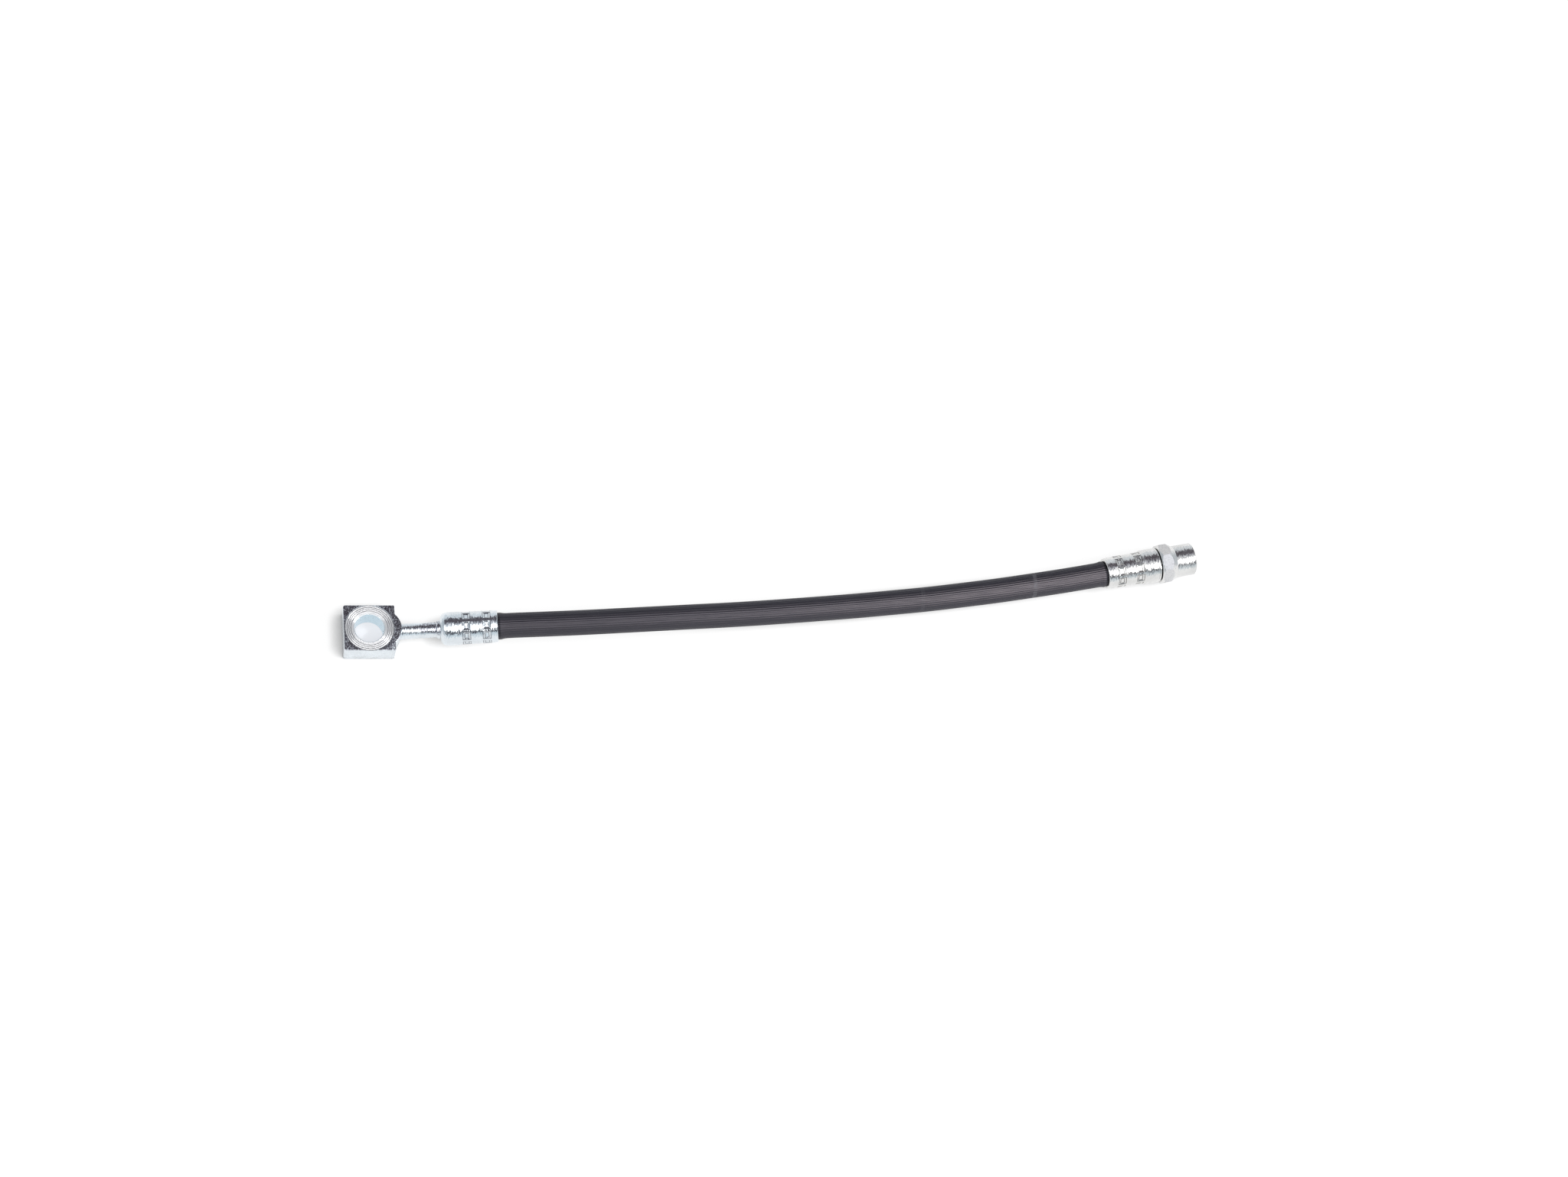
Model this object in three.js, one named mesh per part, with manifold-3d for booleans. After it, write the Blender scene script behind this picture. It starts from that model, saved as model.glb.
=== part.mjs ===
// Brake hose with a banjo eye at one end and a female end fitting at the other.
// Millimetres, +Z up. The hose lies on the plane Z = 0 with the banjo eye at -X.

import * as THREE from 'three';
import { mergeVertices } from 'three/addons/utils/BufferGeometryUtils.js';
import Module from 'manifold-3d';

const wasm = await Module();
wasm.setup();

// Hose build-up, from the fluid outwards
const hoseDiameter = 10.5;
const hoseBore = 3.3;
const linerWall = 0.9;
const braidWall = 0.4;
const cushionWall = 0.3;
const layerGap = 0.12;
const hoseSides = 12;
const hoseSteps = 12;

// Banjo eye block
const blockLength = 21.4;
const blockWidth = 20.5;
const blockHeight = 9;
const blockCorner = 1;
const frontCorner = 0.5;
const cornerSteps = 3;
const blockBevel = 0.3;
const crownReach = 2.8;
const crownWidth = 12.6;
const crownSteps = 10;
const boltBore = 12.3;
const boreChamfer = 0.45;

// Turned sealing faces round the bolt bore, one on each side of the block
const seatDiameter = 20.7;
const seatSink = 0.12;
const grooveCount = 4;
const firstGrooveRadius = 7.7;
const groovePitch = 0.8;
const grooveWidth = 0.44;
const grooveDepth = 0.22;
const seatSegments = 48;

// Neck between the block and the hose, cranked upwards out of the block
const neckDiameter = 6.5;
const neckLift = THREE.MathUtils.degToRad(8);
const neckRoot = 10;
const neckLength = 19.8;
const neckStepDiameter = 7.6;
const neckStepLength = 1.2;
const neckSegments = 28;
const passageDiameter = 1.8;
const passageSegments = 16;

// Barbed tail that each fitting puts into the hose
const tailDiameter = 2.6;
const barbHeight = 0.16;
const barbPitch = 3;
const barbCount = 4;
const tailLength = 15;
const tailSegments = 32;

// Crimped ferrules
const ferruleLength = 23.8;
const ferruleEndWall = 2.4;
const ferruleMouthDiameter = 13.1;
const ferruleCrimpDiameter = 13.5;
const banjoFerruleDiameter = 13.9;
const endFerruleDiameter = 14.7;
const ferruleMouthRamp = 1.9;
const ferruleFlare = 1.1;
const ferruleLip = 0.45;
const lipSteps = 2;
const domeLength = 3.2;
const domeFace = 1.45;
const domeSteps = 5;
const ferruleSegments = 72;
const fitClearance = 0.3;
const hoseClearance = 0.25;

// Ring groove turned in the end ferrule, just short of the collar
const ringGrooveWidth = 0.35;
const ringGrooveDepth = 0.22;
const ringGrooveInset = 0.8;

// Crimp dents pressed into each ferrule, in two rows
const banjoDentRows = [4.6, 13];
const banjoDentTurn = THREE.MathUtils.degToRad(14.5);
const endDentRows = [6, 14.4];
const endDentTurn = THREE.MathUtils.degToRad(-5.5);
const dentsPerRow = 9;
const dentLength = 2.3;
const dentWall = 0.55;
const dentDepth = 0.5;
const dentFlatAngle = THREE.MathUtils.degToRad(20);
const dentWallAngle = THREE.MathUtils.degToRad(5);

// Female end fitting
const collarAcrossFlats = 16.2;
const collarFlats = 8;
const collarLength = 4;
const collarChamfer = 0.35;
const collarTurn = THREE.MathUtils.degToRad(-25);
const coneLength = 3.2;
const noseDiameter = 13.8;
const noseLength = 8.7;
const noseChamfer = 0.4;
const portDiameter = 9.1;
const portDepth = 10;
const portChamfer = 0.55;
const seatConeDiameter = 6;
const seatConeHeight = 1.6;
const seatFaceDiameter = 2.8;
const endSegments = 48;

// Where the far ferrule's mouth lies, measured from the bolt bore's foot
const endReach = 315.75;
const endOffset = 25.3;
const endHeight = 8.8;
const endYaw = THREE.MathUtils.degToRad(10.5);

// Route of the free hose: sideways place and height at equal steps between the two straight runs
const straightRun = 6;
const routeStart = 74;
const routeEndMargin = 18;
const freeRoute = [
  [0.1, 12.6],
  [0.7, 12.8],
  [1.7, 12.4],
  [2.9, 11.6],
  [4.2, 10.6],
  [5.5, 9.5],
  [6.9, 8.5],
  [8.4, 7.6],
  [9.9, 6.9],
  [11.4, 6.4],
  [13, 6.1],
  [14.6, 6],
  [16.4, 6.2],
  [18.2, 6.7],
  [20.2, 7.4],
  [22.3, 8.2],
];

// How far a cutting form runs on past the face that it cuts
const overrun = 1;

// Sizes that follow from the ones above
const hoseRadius = hoseDiameter / 2;
const ferruleInside = hoseRadius + hoseClearance;
const neckHole = neckDiameter / 2 + fitClearance;
const hoseInsertion = ferruleLength - ferruleEndWall - fitClearance;
const neckAxis = new THREE.Vector3(Math.cos(neckLift), 0, Math.sin(neckLift));
const neckStart = new THREE.Vector3(neckRoot, 0, blockHeight / 2);
const endMouth = new THREE.Vector3(endReach, endOffset, endHeight);
const endAxis = new THREE.Vector3(Math.cos(endYaw), Math.sin(endYaw), 0);
const banjoMouth = neckStart.clone().addScaledVector(neckAxis, neckLength + ferruleLength);

const steel = { roughness: 0.32, metalness: 0.9 };
const banjoSteel = new THREE.MeshStandardMaterial({ color: 0xc3cdd6, ...steel });
const endSteel = new THREE.MeshStandardMaterial({ color: 0xc9c8c6, ...steel });
const coverRubber = new THREE.MeshStandardMaterial({ color: 0x2b2a2e, roughness: 0.6, metalness: 0 });
const innerRubber = new THREE.MeshStandardMaterial({ color: 0x1c1b1d, roughness: 0.7, metalness: 0 });
const braidFibre = new THREE.MeshStandardMaterial({ color: 0xd9d4c4, roughness: 0.85, metalness: 0 });

// Closed geometry with shared corners and its faces pointing out
function closed(geometry) {
  const source = geometry.index ? geometry : geometry.clone();
  source.deleteAttribute('normal');
  source.deleteAttribute('uv');
  const merged = mergeVertices(source, 1e-4);
  const position = merged.attributes.position;
  const corner = [new THREE.Vector3(), new THREE.Vector3(), new THREE.Vector3()];
  const faces = [];
  let volume = 0;
  for (let i = 0; i < merged.index.count; i += 3) {
    const face = [0, 1, 2].map((k) => merged.index.getX(i + k));
    if (new Set(face).size < 3) continue;
    face.forEach((vertex, k) => corner[k].fromBufferAttribute(position, vertex));
    volume += corner[0].dot(corner[1].clone().cross(corner[2]));
    faces.push(face);
  }
  if (volume < 0) faces.forEach((face) => face.reverse());
  merged.setIndex(faces.flat());
  return merged;
}

function toSolid(geometry) {
  const shell = closed(geometry);
  return new wasm.Manifold(new wasm.Mesh({
    numProp: 3,
    vertProperties: new Float32Array(shell.attributes.position.array),
    triVerts: new Uint32Array(shell.index.array),
  }));
}

function toGeometry(solid) {
  const mesh = solid.getMesh();
  const geometry = new THREE.BufferGeometry();
  geometry.setAttribute('position', new THREE.BufferAttribute(mesh.vertProperties, 3));
  geometry.setIndex(new THREE.BufferAttribute(mesh.triVerts, 1));
  return geometry;
}

// Turned form about the X axis from [along, radius] pairs
function turned(profile, segments) {
  const points = profile.map(([along, radius]) => new THREE.Vector2(radius, along));
  return new THREE.LatheGeometry(points, segments).rotateZ(-Math.PI / 2);
}

function arc(centre, radius, from, to, steps) {
  return Array.from({ length: steps + 1 }, (_, i) => {
    const angle = from + (to - from) * i / steps;
    return [centre[0] + radius * Math.cos(angle), centre[1] + radius * Math.sin(angle)];
  });
}

// Plan of the eye block: a rectangle with rounded corners and a crown towards the neck
function blockOutline() {
  const back = -blockLength / 2;
  const front = blockLength / 2;
  const side = blockWidth / 2;
  const inset = blockCorner;
  const quarter = Math.PI / 2;
  const halfCrown = crownWidth / 2;
  const crownRadius = (halfCrown ** 2 + crownReach ** 2) / (2 * crownReach);
  const crownAngle = Math.asin(halfCrown / crownRadius);
  const crownCentre = [front + crownReach - crownRadius, 0];
  const points = [
    ...arc([back + inset, side - inset], inset, quarter, 2 * quarter, cornerSteps),
    ...arc([back + inset, inset - side], inset, 2 * quarter, 3 * quarter, cornerSteps),
    ...arc([front - frontCorner, frontCorner - side], frontCorner, 3 * quarter, 4 * quarter, cornerSteps),
    ...arc(crownCentre, crownRadius, -crownAngle, crownAngle, crownSteps),
    ...arc([front - frontCorner, side - frontCorner], frontCorner, 0, quarter, cornerSteps),
  ];
  return new THREE.Shape(points.map(([x, y]) => new THREE.Vector2(x, y)));
}

function blockSolid() {
  const geometry = new THREE.ExtrudeGeometry(blockOutline(), {
    depth: blockHeight - 2 * blockBevel,
    bevelEnabled: true,
    bevelThickness: blockBevel,
    bevelSize: blockBevel,
    bevelOffset: -blockBevel,
    bevelSegments: 1,
  });
  return toSolid(geometry.translate(0, 0, blockBevel));
}

// Material that the seat tool removes above one face: the sunk seat, its grooves and the bore's chamfer
function seatCut() {
  const boreRadius = boltBore / 2;
  const grooves = Array.from({ length: grooveCount }, (_, i) => {
    const radius = firstGrooveRadius + groovePitch * i;
    return [
      [radius - grooveWidth / 2, -seatSink],
      [radius, -seatSink - grooveDepth],
      [radius + grooveWidth / 2, -seatSink],
    ];
  }).flat();
  const profile = [
    [0, overrun],
    [0, -seatSink - boreChamfer],
    [boreRadius, -seatSink - boreChamfer],
    [boreRadius + boreChamfer, -seatSink],
    ...grooves,
    [seatDiameter / 2, -seatSink],
    [seatDiameter / 2, overrun],
    [0, overrun],
  ];
  const points = profile.map(([radius, along]) => new THREE.Vector2(radius, along));
  return toSolid(new THREE.LatheGeometry(points, seatSegments).rotateX(Math.PI / 2));
}

// Barbed tail profile from its root at zero to its tip
function tailProfile(root) {
  const radius = tailDiameter / 2;
  const barbs = Array.from({ length: barbCount }, (_, i) => {
    const foot = tailLength - barbPitch * i;
    return [
      [root + foot, radius],
      [root + foot - barbPitch / 2, radius + barbHeight],
      [root + foot - barbPitch / 2, radius],
    ];
  }).reverse().map((barb) => barb.reverse()).flat();
  return [[root, radius], ...barbs];
}

// Neck, its step and the tail, turned about X and rooted in the block
function neckSolid() {
  const radius = neckDiameter / 2;
  const stepRadius = neckStepDiameter / 2;
  const wallEnd = neckLength + ferruleEndWall;
  const profile = [
    [0, 0],
    [0, radius],
    [neckLength - neckStepLength - fitClearance, radius],
    [neckLength - neckStepLength - fitClearance, stepRadius],
    [neckLength - fitClearance, stepRadius],
    [neckLength - fitClearance, radius],
    [wallEnd, radius],
    ...tailProfile(wallEnd),
    [wallEnd + tailLength, 0],
  ];
  return toSolid(turned(profile, neckSegments));
}

function neckPassage() {
  const radius = passageDiameter / 2;
  const reach = neckLength + ferruleEndWall + tailLength + overrun;
  const profile = [[-neckRoot, 0], [-neckRoot, radius], [reach, radius], [reach, 0]];
  return toSolid(turned(profile, passageSegments));
}

function boltBoreSolid() {
  const length = blockHeight + 2 * overrun;
  const bore = new THREE.CylinderGeometry(boltBore / 2, boltBore / 2, length, seatSegments);
  return toSolid(bore.rotateX(Math.PI / 2).translate(0, 0, blockHeight / 2));
}

function raise(solid) {
  const lift = THREE.MathUtils.radToDeg(neckLift);
  return solid.rotate([0, -lift, 0]).translate([neckRoot, 0, blockHeight / 2]);
}

function banjoFitting() {
  const upperSeat = seatCut().translate([0, 0, blockHeight]);
  const lowerSeat = seatCut().rotate([180, 0, 0]);
  const body = blockSolid()
    .add(raise(neckSolid()))
    .subtract(boltBoreSolid())
    .subtract(upperSeat)
    .subtract(lowerSeat)
    .subtract(raise(neckPassage()));
  return new THREE.Mesh(toGeometry(body), banjoSteel);
}

// Share of the full dent depth at a place on the ferrule: one on a dent's floor, zero off it
function dentShare(along, angle, dentRows) {
  const pitch = 2 * Math.PI / dentsPerRow;
  const offAngle = Math.abs(angle - pitch * Math.round(angle / pitch));
  const offRow = Math.min(...dentRows.map((row) => Math.abs(along - row)));
  const acrossShare = 1 - (offAngle - dentFlatAngle / 2) / dentWallAngle;
  const alongShare = 1 - (offRow - dentLength / 2) / dentWall;
  return THREE.MathUtils.clamp(Math.min(acrossShare, alongShare), 0, 1);
}

// Outer profile of a ferrule from its mouth past its dents to where its body starts
function crimpedOutside(body, dentRows) {
  const crimp = ferruleCrimpDiameter / 2;
  const mouth = ferruleMouthDiameter / 2;
  const halfDent = dentLength / 2;
  const crimpEnd = dentRows[dentRows.length - 1] + halfDent + dentWall;
  const rows = dentRows.map((row) => [
    [row - halfDent - dentWall, crimp],
    [row - halfDent, crimp],
    [row + halfDent, crimp],
    [row + halfDent + dentWall, crimp],
  ]).flat();
  return [
    [0, mouth - ferruleLip],
    [ferruleLip, mouth],
    [ferruleLip + ferruleMouthRamp, crimp],
    ...rows,
    [crimpEnd + ferruleFlare, body],
  ];
}

// Quarter of an ellipse that rounds a ferrule's body over to its end face
function shoulder(body, length, height, steps) {
  return Array.from({ length: steps + 1 }, (_, i) => {
    const angle = Math.PI / 2 * i / steps;
    return [ferruleLength - length * (1 - Math.sin(angle)), body - height * (1 - Math.cos(angle))];
  });
}

function banjoOutside() {
  const body = banjoFerruleDiameter / 2;
  const height = body - neckDiameter / 2 - domeFace;
  return [...crimpedOutside(body, banjoDentRows), ...shoulder(body, domeLength, height, domeSteps)];
}

function endOutside() {
  const body = endFerruleDiameter / 2;
  const grooveEnd = ferruleLength - ringGrooveInset;
  return [
    ...crimpedOutside(body, endDentRows),
    [grooveEnd - ringGrooveWidth, body],
    [grooveEnd - ringGrooveWidth / 2, body - ringGrooveDepth],
    [grooveEnd, body],
    ...shoulder(body, ferruleLip, ferruleLip, lipSteps),
  ];
}

// Crimped sleeve along X, its mouth at zero and its end wall at its length
function ferrule(outside, dentRows, dentTurn, material) {
  const depth = ferruleLength - ferruleEndWall;
  const profile = [
    [0, ferruleInside],
    ...outside,
    [ferruleLength, neckHole],
    [depth, neckHole],
    [depth, ferruleInside],
    [0, ferruleInside],
  ];
  const geometry = turned(profile, ferruleSegments);
  const position = geometry.attributes.position;
  for (let i = 0; i < position.count; i += 1) {
    const [along, y, z] = [position.getX(i), position.getY(i), position.getZ(i)];
    const radius = Math.hypot(y, z);
    if (radius < ferruleInside + dentDepth) continue;
    const pressed = radius - dentDepth * dentShare(along, Math.atan2(z, y), dentRows);
    position.setXYZ(i, along, y * pressed / radius, z * pressed / radius);
  }
  const mesh = new THREE.Mesh(closed(geometry), material);
  mesh.rotation.x = dentTurn;
  return mesh;
}

// Eight-sided collar, chamfered towards the hose and turned to a cone towards the nose
function collarSolid() {
  const corner = collarAcrossFlats / 2 / Math.cos(Math.PI / collarFlats);
  const length = collarLength + coneLength;
  const prism = new THREE.CylinderGeometry(corner, corner, length, collarFlats);
  prism.rotateY(Math.PI / collarFlats).rotateZ(-Math.PI / 2).translate(length / 2, 0, 0);
  const flat = collarAcrossFlats / 2;
  const envelope = turned([
    [0, 0],
    [0, flat - collarChamfer],
    [corner - flat + collarChamfer, corner + collarChamfer / 2],
    [collarLength - coneLength * (corner - flat) / flat, corner + collarChamfer / 2],
    [length, noseDiameter / 2],
    [length, 0],
  ], endSegments);
  return toSolid(prism).intersect(toSolid(envelope));
}

// Fitting body along X: tail, neck inside the ferrule, collar, cone and nose
function endFitting() {
  const neck = neckDiameter / 2;
  const nose = noseDiameter / 2;
  const noseStart = collarLength + coneLength;
  const noseEnd = noseStart + noseLength;
  const wallStart = -ferruleEndWall - fitClearance;
  const tail = tailProfile(0).map(([along, radius]) => [wallStart - along, radius]).reverse();
  const shaft = turned([
    [wallStart - tailLength, 0],
    ...tail,
    [wallStart, neck],
    [collarLength, neck],
    [collarLength, 0],
  ], tailSegments);
  const front = turned([
    [collarLength, 0],
    [collarLength, nose - noseChamfer],
    [noseStart - fitClearance, nose - noseChamfer],
    [noseStart, nose],
    [noseEnd - noseChamfer, nose],
    [noseEnd, nose - noseChamfer],
    [noseEnd, 0],
  ], endSegments);
  const port = portDiameter / 2;
  const portFoot = noseEnd - portDepth;
  const cut = turned([
    [wallStart - tailLength - overrun, 0],
    [wallStart - tailLength - overrun, passageDiameter / 2],
    [portFoot + seatConeHeight, passageDiameter / 2],
    [portFoot + seatConeHeight, seatFaceDiameter / 2],
    [portFoot, seatConeDiameter / 2],
    [portFoot, port],
    [noseEnd - portChamfer, port],
    [noseEnd, port + portChamfer],
    [noseEnd + overrun, port + portChamfer],
    [noseEnd + overrun, 0],
  ], endSegments);
  const body = collarSolid().add(toSolid(front)).add(toSolid(shaft)).subtract(toSolid(cut));
  const mesh = new THREE.Mesh(toGeometry(body), endSteel);
  mesh.rotation.x = collarTurn;
  return mesh;
}

// Route of the whole hose, with a straight run in and just outside each ferrule
function hoseRoute() {
  const banjoEnd = banjoMouth.clone().addScaledVector(neckAxis, -hoseInsertion);
  const farEnd = endMouth.clone().addScaledVector(endAxis, hoseInsertion);
  const step = (endReach - routeEndMargin - routeStart) / (freeRoute.length - 1);
  return new THREE.CatmullRomCurve3([
    banjoEnd,
    banjoEnd.clone().lerp(banjoMouth, 0.5),
    banjoMouth,
    banjoMouth.clone().addScaledVector(neckAxis, straightRun),
    ...freeRoute.map(([y, z], i) => new THREE.Vector3(routeStart + step * i, y, z)),
    endMouth.clone().addScaledVector(endAxis, -straightRun),
    endMouth,
    farEnd.clone().lerp(endMouth, 0.5),
    farEnd,
  ]);
}

function ring(radius) {
  return Array.from({ length: hoseSides }, (_, i) => {
    const angle = 2 * Math.PI * i / hoseSides;
    return new THREE.Vector2(radius * Math.cos(angle), radius * Math.sin(angle));
  });
}

function hoseLayer(inside, outside, material) {
  const section = new THREE.Shape(ring(outside));
  section.holes.push(new THREE.Path(ring(inside)));
  const geometry = new THREE.ExtrudeGeometry(section, {
    steps: hoseSteps,
    extrudePath: hoseRoute(),
    bevelEnabled: false,
  });
  return new THREE.Mesh(closed(geometry), material);
}

// Layers from the fluid outwards, each a small gap outside the one before
function hoseLayers() {
  const linerOutside = hoseBore / 2 + linerWall;
  const firstBraid = linerOutside + layerGap;
  const cushion = firstBraid + braidWall + layerGap;
  const secondBraid = cushion + cushionWall + layerGap;
  const cover = secondBraid + braidWall + layerGap;
  return {
    hose_liner: hoseLayer(hoseBore / 2, linerOutside, innerRubber),
    hose_inner_braid: hoseLayer(firstBraid, firstBraid + braidWall, braidFibre),
    hose_cushion: hoseLayer(cushion, cushion + cushionWall, innerRubber),
    hose_outer_braid: hoseLayer(secondBraid, secondBraid + braidWall, braidFibre),
    hose_cover: hoseLayer(cover, hoseRadius, coverRubber),
  };
}

function named(mesh, name) {
  mesh.name = name;
  return mesh;
}

function banjoEnd() {
  const group = new THREE.Group();
  const sleeve = ferrule(banjoOutside(), banjoDentRows, banjoDentTurn, banjoSteel);
  const seat = new THREE.Group();
  seat.position.copy(banjoMouth);
  seat.rotation.set(0, Math.PI - neckLift, 0);
  seat.add(named(sleeve, 'banjo_ferrule'));
  group.add(named(banjoFitting(), 'banjo_fitting'), seat);
  return group;
}

function femaleEnd() {
  const group = new THREE.Group();
  const sleeve = ferrule(endOutside(), endDentRows, endDentTurn, endSteel);
  const fitting = named(endFitting(), 'end_fitting');
  fitting.position.x = ferruleLength + fitClearance;
  group.position.copy(endMouth);
  group.rotation.z = endYaw;
  group.add(named(sleeve, 'end_ferrule'), fitting);
  return group;
}

const assembly = new THREE.Group();
const ends = [banjoEnd(), femaleEnd()];
assembly.add(...ends);
const footprint = ends.reduce((box, end) => box.expandByObject(end, true), new THREE.Box3());
Object.entries(hoseLayers()).forEach(([name, layer]) => assembly.add(named(layer, name)));

// The origin is the middle of the two end fittings' footprint, on the plane they lie on
const centre = footprint.getCenter(new THREE.Vector3());
assembly.position.set(-centre.x, -centre.y, -footprint.min.z);

export default assembly;
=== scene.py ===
# Brake hose: finished surfaces, the hose's layers along one route, floor, light and camera.
# Metres, in the same frame as the imported model.

import math

import bmesh
import bpy
from mathutils import Matrix, Vector

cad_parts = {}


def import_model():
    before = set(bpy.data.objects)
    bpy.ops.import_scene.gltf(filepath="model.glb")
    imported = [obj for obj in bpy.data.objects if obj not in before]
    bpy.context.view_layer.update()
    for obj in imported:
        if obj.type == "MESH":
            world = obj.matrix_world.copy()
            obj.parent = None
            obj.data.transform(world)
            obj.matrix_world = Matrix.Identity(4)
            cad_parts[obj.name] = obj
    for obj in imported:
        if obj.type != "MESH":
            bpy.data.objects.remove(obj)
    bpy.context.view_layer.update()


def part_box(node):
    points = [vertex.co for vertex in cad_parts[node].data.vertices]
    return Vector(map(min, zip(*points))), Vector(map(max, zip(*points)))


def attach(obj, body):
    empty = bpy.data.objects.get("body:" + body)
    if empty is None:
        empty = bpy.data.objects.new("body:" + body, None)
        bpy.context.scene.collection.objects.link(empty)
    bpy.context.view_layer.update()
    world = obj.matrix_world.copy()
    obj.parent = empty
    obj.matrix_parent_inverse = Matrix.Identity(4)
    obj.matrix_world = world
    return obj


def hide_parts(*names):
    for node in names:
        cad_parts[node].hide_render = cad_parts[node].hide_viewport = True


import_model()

MM = 0.001

# Where the eye block stands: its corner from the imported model, its sizes as in the CAD
BANJO_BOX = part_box("banjo_fitting")
BLOCK_LENGTH = 21.4 * MM
BLOCK_WIDTH = 20.5 * MM
BLOCK_HEIGHT = 9 * MM
BORE = Vector((BANJO_BOX[0][0] + BLOCK_LENGTH / 2, BANJO_BOX[0][1] + BLOCK_WIDTH / 2, 0))

# Eye block and its sealing faces
BLOCK_CORNER = 1 * MM
BLOCK_BEVEL = 0.3 * MM
CROWN_REACH = 2.8 * MM
CROWN_WIDTH = 12.6 * MM
BORE_RADIUS = 6.15 * MM
BORE_CHAMFER = 0.45 * MM
SEAT_RADIUS = 10.35 * MM
SEAT_SINK = 0.12 * MM
GROOVE_COUNT = 4
FIRST_GROOVE = 7.7 * MM
GROOVE_PITCH = 0.8 * MM
GROOVE_WIDTH = 0.44 * MM
GROOVE_DEPTH = 0.22 * MM

# Neck and barbed tail
NECK_RADIUS = 3.25 * MM
NECK_LIFT = math.radians(8)
NECK_ROOT = 10 * MM
NECK_LENGTH = 19.8 * MM
NECK_STEP_RADIUS = 3.8 * MM
NECK_STEP_LENGTH = 1.2 * MM
NECK_STEP_ROUND = 0.25 * MM
PASSAGE_RADIUS = 0.9 * MM
TAIL_RADIUS = 1.3 * MM
TAIL_LENGTH = 15 * MM
BARB_HEIGHT = 0.16 * MM
BARB_PITCH = 3 * MM
BARB_COUNT = 4

# Ferrules and their crimp dents
FERRULE_LENGTH = 23.8 * MM
END_WALL = 2.4 * MM
MOUTH_RADIUS = 6.55 * MM
CRIMP_RADIUS = 6.75 * MM
BANJO_FERRULE_RADIUS = 6.95 * MM
END_FERRULE_RADIUS = 7.35 * MM
DOME_LENGTH = 3.2 * MM
DOME_FACE = 1.45 * MM
FERRULE_LIP = 0.45 * MM
MOUTH_RAMP = 1.9 * MM
FERRULE_FLARE = 1.1 * MM
RING_GROOVE_WIDTH = 0.35 * MM
RING_GROOVE_DEPTH = 0.22 * MM
RING_GROOVE_INSET = 0.8 * MM
CLEARANCE = 0.3 * MM
HOSE_CLEARANCE = 0.25 * MM
BANJO_DENT_ROWS = (4.6 * MM, 13 * MM)
BANJO_DENT_TURN = math.radians(14.5)
END_DENT_ROWS = (6 * MM, 14.4 * MM)
END_DENT_TURN = math.radians(-5.5)
DENTS_PER_ROW = 9
DENT_LENGTH = 1.6 * MM
DENT_WALL = 0.8 * MM
DENT_DEPTH = 0.5 * MM
DENT_FLAT = math.radians(20)
DENT_SIDE = math.radians(5)
CREASE_WIDTH = 0.3 * MM
SLEEVE_STEP = 0.15 * MM
SLEEVE_SEGMENTS = 360

# Female end fitting
COLLAR_FLAT = 8.1 * MM
COLLAR_SIDES = 8
COLLAR_LENGTH = 4 * MM
COLLAR_CHAMFER = 0.35 * MM
COLLAR_TURN = math.radians(-25)
CONE_LENGTH = 3.2 * MM
NOSE_RADIUS = 6.9 * MM
NOSE_LENGTH = 8.7 * MM
NOSE_CHAMFER = 0.4 * MM
PORT_RADIUS = 4.55 * MM
PORT_DEPTH = 10 * MM
PORT_CHAMFER = 0.55 * MM
SEAT_CONE_RADIUS = 3 * MM
SEAT_CONE_HEIGHT = 1.6 * MM
SEAT_FACE_RADIUS = 1.4 * MM
PORT_STEPS = 90
THREAD_PITCH = 1 * MM
THREAD_DEPTH = 0.45 * MM
THREAD_LENGTH = 8.4 * MM
THREAD_SLOPE = 1.3
THREAD_LAND = 0.15

# Hose
HOSE_RADIUS = 5.25 * MM
HOSE_BORE = 1.65 * MM
LINER_WALL = 0.9 * MM
BRAID_WALL = 0.4 * MM
CUSHION_WALL = 0.3 * MM
LAYER_GAP = 0.12 * MM
LAYER_SPACING = 6 * MM
LAYER_SEGMENTS = 48
COVER_SPACING = 1.2 * MM
RIB_COUNT = 36
RIB_STEPS = 6
INNER_STRIDE = 8
RIB_DEPTH = 0.1 * MM
MOUTH_SWELL = 0.42 * MM
SWELL_LENGTH = 1.5 * MM
SWELL_PEAK = 0.6 * MM
STRAIGHT_RUN = 6 * MM
END_YAW = math.radians(10.5)
END_MOUTH = BORE + Vector((315.75, 25.3, 8.8)) * MM

# Route of the free hose: sideways place and height, in millimetres
# from the foot of the bolt bore, at equal steps along X
ROUTE_START = 74
ROUTE_END = 297.75
FREE_ROUTE = [
    (0.1, 12.6),
    (0.7, 12.8),
    (1.7, 12.4),
    (2.9, 11.6),
    (4.2, 10.6),
    (5.5, 9.5),
    (6.9, 8.5),
    (8.4, 7.6),
    (9.9, 6.9),
    (11.4, 6.4),
    (13.0, 6.1),
    (14.6, 6.0),
    (16.4, 6.2),
    (18.2, 6.7),
    (20.2, 7.4),
    (22.3, 8.2),
]

# Mesh detail: steps round a turned form or an arc, and angles past which edges stay sharp
SMOOTH_ANGLE = math.radians(35)
BODY_SMOOTH_ANGLE = math.radians(30)
SLEEVE_SMOOTH_ANGLE = math.radians(20)
HOSE_SMOOTH_ANGLE = math.radians(60)
BEVEL_ANGLE = math.radians(40)
BEVEL_SEGMENTS = 3
BORE_SEGMENTS = 160
NECK_SEGMENTS = 96
PASSAGE_SEGMENTS = 48
END_SEGMENTS = 192
CORNER_STEPS = 8
SMALL_CORNER_STEPS = 6
CROWN_STEPS = 32
LIP_STEPS = 6
SHOULDER_STEPS = 12
MERGE_DISTANCE = 1e-7
TOOL_OVERRUN = 1 * MM

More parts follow.
